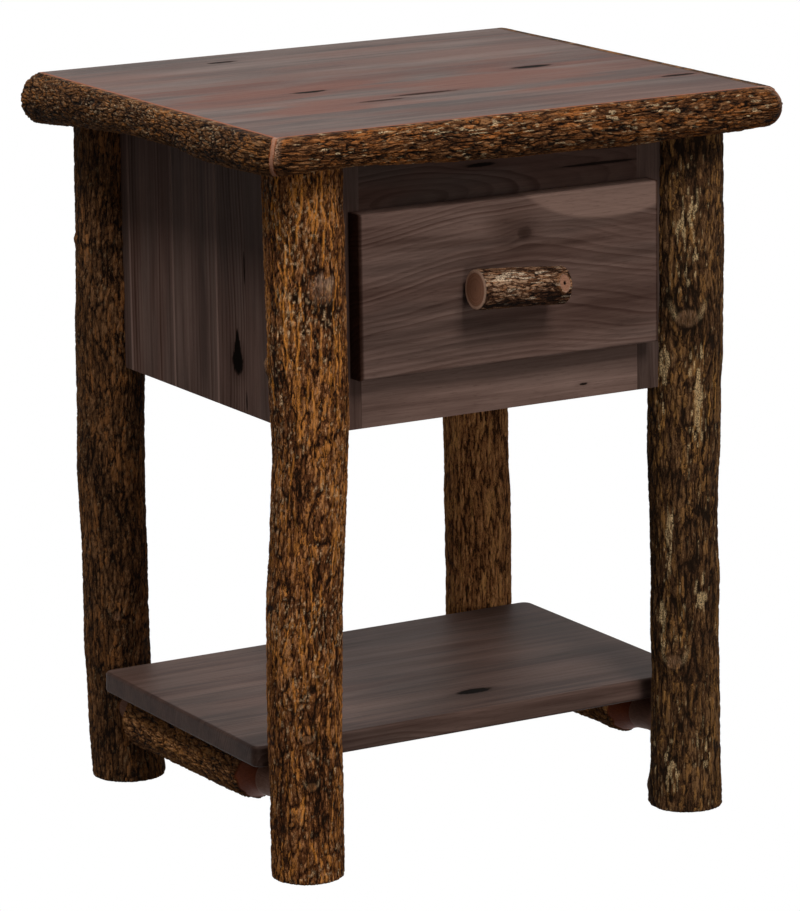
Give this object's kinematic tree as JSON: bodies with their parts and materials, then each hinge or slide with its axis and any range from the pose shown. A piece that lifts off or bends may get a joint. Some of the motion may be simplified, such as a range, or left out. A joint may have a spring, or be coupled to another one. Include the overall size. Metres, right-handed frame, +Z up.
{
  "type": "rustic hickory table",
  "caption": "Small bark-on log table with a plank top edged in half logs, a drawer with a twig handle and full-extension slides, and a lower shelf on log stretchers.",
  "frame": {"origin": "on the floor, under the centre of the outline", "axes": "+Z up, the drawer opens towards -Y, +X to the right seen from the front"},
  "size_m": [0.568, 0.502, 0.711],
  "materials": {
    "hickory_bark": "bark-on hickory pole, clear coated, brown and grey ridges with orange inner bark",
    "stained_hickory": "grey-brown stained hickory boards, satin lacquer",
    "plain_hickory": "unstained wood inside the case and drawer",
    "zinc_steel": "zinc-plated sheet and screws"
  },
  "bodies": {
    "case": {"back_panel": "stained_hickory", "edge_log_front": "hickory_bark", "edge_log_left": "hickory_bark", "edge_log_right": "hickory_bark", "leg_back_left": "hickory_bark", "leg_back_right": "hickory_bark", "leg_front_left": "hickory_bark", "leg_front_right": "hickory_bark", "leg_screws": "zinc_steel", "rail_bottom": "stained_hickory", "rail_top": "stained_hickory", "shelf_board_1": "stained_hickory", "shelf_board_2": "stained_hickory", "shelf_board_3": "stained_hickory", "shelf_screws": "zinc_steel", "side_left_board_1": "stained_hickory", "side_left_board_2": "stained_hickory", "side_left_board_3": "stained_hickory", "side_left_board_4": "stained_hickory", "side_right_board_1": "stained_hickory", "side_right_board_2": "stained_hickory", "side_right_board_3": "stained_hickory", "side_right_board_4": "stained_hickory", "slide_block_left": "plain_hickory", "slide_block_right": "plain_hickory", "slide_case_left": "zinc_steel", "slide_case_right": "zinc_steel", "slide_screws_case": "zinc_steel", "stile_left": "stained_hickory", "stile_right": "stained_hickory", "stretcher_left": "hickory_bark", "stretcher_right": "hickory_bark", "top_board_1": "stained_hickory", "top_board_2": "stained_hickory", "top_board_3": "stained_hickory", "top_board_4": "stained_hickory", "top_board_5": "stained_hickory", "top_cleat_left": "plain_hickory", "top_cleat_right": "plain_hickory", "top_screws": "zinc_steel"},
    "drawer": {"drawer_front": "stained_hickory", "drawer_box_front": "plain_hickory", "drawer_box_back": "plain_hickory", "drawer_side_left": "plain_hickory", "drawer_side_right": "plain_hickory", "drawer_bottom": "plain_hickory", "knob": "hickory_bark", "knob_stem": "plain_hickory", "knob_screw": "zinc_steel", "drawer_front_screws": "zinc_steel", "slide_drawer_left": "zinc_steel", "slide_drawer_right": "zinc_steel", "slide_screws_drawer": "zinc_steel"},
    "slide_middle_left": {"slide_middle_left": "zinc_steel"},
    "slide_middle_right": {"slide_middle_right": "zinc_steel"}
  },
  "joints": [
    {"name": "drawer_slide", "type": "slide", "parent": "case", "child": "drawer", "axis": [0, -1, 0], "range_m": [0, 0.34]},
    {"name": "slide_middle_left_slide", "type": "slide", "parent": "case", "child": "slide_middle_left", "axis": [0, -1, 0], "range_m": [0, 0.17]},
    {"name": "slide_middle_right_slide", "type": "slide", "parent": "case", "child": "slide_middle_right", "axis": [0, -1, 0], "range_m": [0, 0.17]}
  ],
  "couplings": [
    {"joint": "slide_middle_left_slide", "follows": "drawer_slide", "ratio": 0.5},
    {"joint": "slide_middle_right_slide", "follows": "drawer_slide", "ratio": 0.5}
  ]
}
